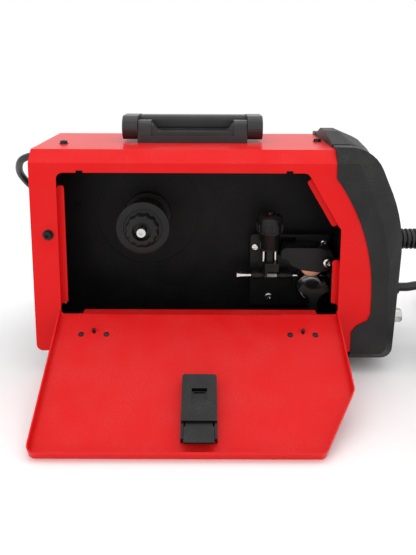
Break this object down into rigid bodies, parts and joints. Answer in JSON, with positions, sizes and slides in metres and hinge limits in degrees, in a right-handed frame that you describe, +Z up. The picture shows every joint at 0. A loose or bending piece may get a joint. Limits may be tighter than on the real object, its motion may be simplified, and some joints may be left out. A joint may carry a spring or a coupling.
{
  "type": "portable mig welder",
  "caption": "Portable wire-feed welder with a steel case, moulded front, fold-down side door over the spool hub and wire drive, folding handle, coiled torch, work and mains leads.",
  "frame": {"origin": "centre of the footprint of the machine with its door open, at floor level", "axes": "+X towards the front with the controls, +Y towards the closed side, +Z up"},
  "size_m": [0.748, 0.4847, 0.3066],
  "materials": {
    "red_paint": "gloss",
    "bezel_plastic": "satin",
    "bay_paint": "satin",
    "dark_paint": "satin",
    "black_plastic": "matte",
    "zinc": "satin",
    "bright_steel": "polished",
    "cast_alloy": "cast",
    "brass": "satin",
    "copper": "satin",
    "rubber": "matte",
    "panel_foil": "satin",
    "lens": "gloss",
    "circuit_board": "satin",
    "lead_jacket": "satin"
  },
  "bodies": {
    "case": {"base_pan": "dark_paint", "outer_cover": "red_paint", "divider_panel": "bay_paint", "bay_front_wall": "bay_paint", "front_bezel": "bezel_plastic", "front_panel": "panel_foil", "display_lens": "lens", "rear_panel": "dark_paint", "handle_base": "black_plastic", "handle_pins": "dark_paint", "rubber_feet": "rubber", "cover_screws": "zinc", "door_hinges_fixed": "red_paint", "door_hinge_pins": "zinc", "spool_axle": "zinc", "feeder_plate": "cast_alloy", "wire_guides": "bright_steel", "feed_motor": "cast_alloy", "fan_frame": "black_plastic", "power_electronics": "circuit_board", "gun_connector": "bright_steel", "front_sockets": "black_plastic", "gas_inlet": "brass", "mains_gland": "black_plastic", "mains_lead": "lead_jacket", "mains_coil": "lead_jacket", "mains_tail": "lead_jacket", "mains_plug": "black_plastic", "torch_relief": "rubber", "torch_lead": "lead_jacket", "torch_coil": "lead_jacket", "torch_tail": "lead_jacket", "torch_handle": "black_plastic", "torch_neck": "brass", "work_plug": "rubber", "work_lead": "lead_jacket", "work_coil": "lead_jacket", "work_tail": "lead_jacket", "work_clamp": "zinc"},
    "door": {"door_panel": "red_paint", "door_hinges_moving": "red_paint", "door_rivets": "black_plastic", "latch_housing": "black_plastic"},
    "latch": {"latch_bolt": "black_plastic"},
    "bail": {"handle_bail": "black_plastic"},
    "hub": {"spool_hub": "black_plastic", "star_nut": "black_plastic"},
    "drive": {"drive_roll": "bright_steel", "drive_knob": "black_plastic"},
    "arm": {"pressure_arm": "cast_alloy"},
    "idler": {"idler_roll": "copper"},
    "tensioner": {"tension_frame": "dark_paint"},
    "tension_knob": {"tension_knob": "black_plastic"},
    "fan": {"fan_rotor": "black_plastic"},
    "rocker": {"power_switch": "black_plastic"},
    "voltage_knob": {"voltage_knob": "black_plastic"},
    "wire_speed_knob": {"wire_speed_knob": "black_plastic"},
    "toggle": {"mode_toggle": "black_plastic"},
    "trigger": {"torch_trigger": "black_plastic"},
    "clamp_lever": {"clamp_lever": "zinc"}
  },
  "joints": [
    {"name": "door_hinge", "type": "hinge", "parent": "case", "child": "door", "pos_m": [-0.0281, -0.00856, 0.075], "axis": [-1, 0, 0], "range_deg": [0, 116.91]},
    {"name": "latch_slide", "type": "slide", "parent": "door", "child": "latch", "axis": [0, -0.8917, -0.4526], "range_m": [0, 0.012]},
    {"name": "bail_fold", "type": "hinge", "parent": "case", "child": "bail", "pos_m": [-0.0368, 0.07364, 0.2916], "axis": [1, 0, 0], "range_deg": [0, 92]},
    {"name": "spool_spin", "type": "hinge", "parent": "case", "child": "hub", "pos_m": [-0.0961, 0.04464, 0.175], "axis": [0, 1, 0], "continuous": true},
    {"name": "drive_spin", "type": "hinge", "parent": "case", "child": "drive", "pos_m": [0.1154, 0.05464, 0.0876], "axis": [0, 1, 0], "continuous": true},
    {"name": "arm_lift", "type": "hinge", "parent": "case", "child": "arm", "pos_m": [0.1329, 0.05464, 0.1256], "axis": [0, 1, 0], "range_deg": [0, 45]},
    {"name": "idler_spin", "type": "hinge", "parent": "arm", "child": "idler", "pos_m": [0.1154, 0.05464, 0.118], "axis": [0, 1, 0], "continuous": true},
    {"name": "tension_swing", "type": "hinge", "parent": "case", "child": "tensioner", "pos_m": [0.0619, 0.05464, 0.1154], "axis": [0, -1, 0], "range_deg": [0, 45]},
    {"name": "tension_turn", "type": "hinge", "parent": "tensioner", "child": "tension_knob", "pos_m": [0.0619, 0.05464, 0.15], "axis": [0, 0, 1], "range_deg": [-360, 360]},
    {"name": "fan_spin", "type": "hinge", "parent": "case", "child": "fan", "pos_m": [-0.1971, 0.12764, 0.128], "axis": [1, 0, 0], "continuous": true},
    {"name": "power_rocker", "type": "hinge", "parent": "case", "child": "rocker", "pos_m": [-0.2081, 0.04264, 0.232], "axis": [0, 0, 1], "range_deg": [-16, 0]},
    {"name": "voltage_turn", "type": "hinge", "parent": "case", "child": "voltage_knob", "pos_m": [0.1928, 0.04864, 0.18744], "axis": [0.9763, 0, 0.2164], "range_deg": [-135, 135]},
    {"name": "wire_speed_turn", "type": "hinge", "parent": "case", "child": "wire_speed_knob", "pos_m": [0.1928, 0.11264, 0.18744], "axis": [0.9763, 0, 0.2164], "range_deg": [-135, 135]},
    {"name": "mode_flip", "type": "hinge", "parent": "case", "child": "toggle", "pos_m": [0.2039, 0.02464, 0.08], "axis": [0, 1, 0], "range_deg": [-24, 0]},
    {"name": "trigger_pull", "type": "hinge", "parent": "case", "child": "trigger", "pos_m": [0.31216, -0.12228, 0.016], "axis": [0, 0, 1], "range_deg": [0, 6], "stiffness_Nm_per_rad": 0.05},
    {"name": "clamp_squeeze", "type": "hinge", "parent": "case", "child": "clamp_lever", "pos_m": [0.4444, -0.12936, 0.008], "axis": [0, 0, -1], "range_deg": [0, 15], "stiffness_Nm_per_rad": 0.5}
  ],
  "couplings": [
    {"joint": "idler_spin", "follows": "drive_spin", "ratio": -1.0274}
  ]
}
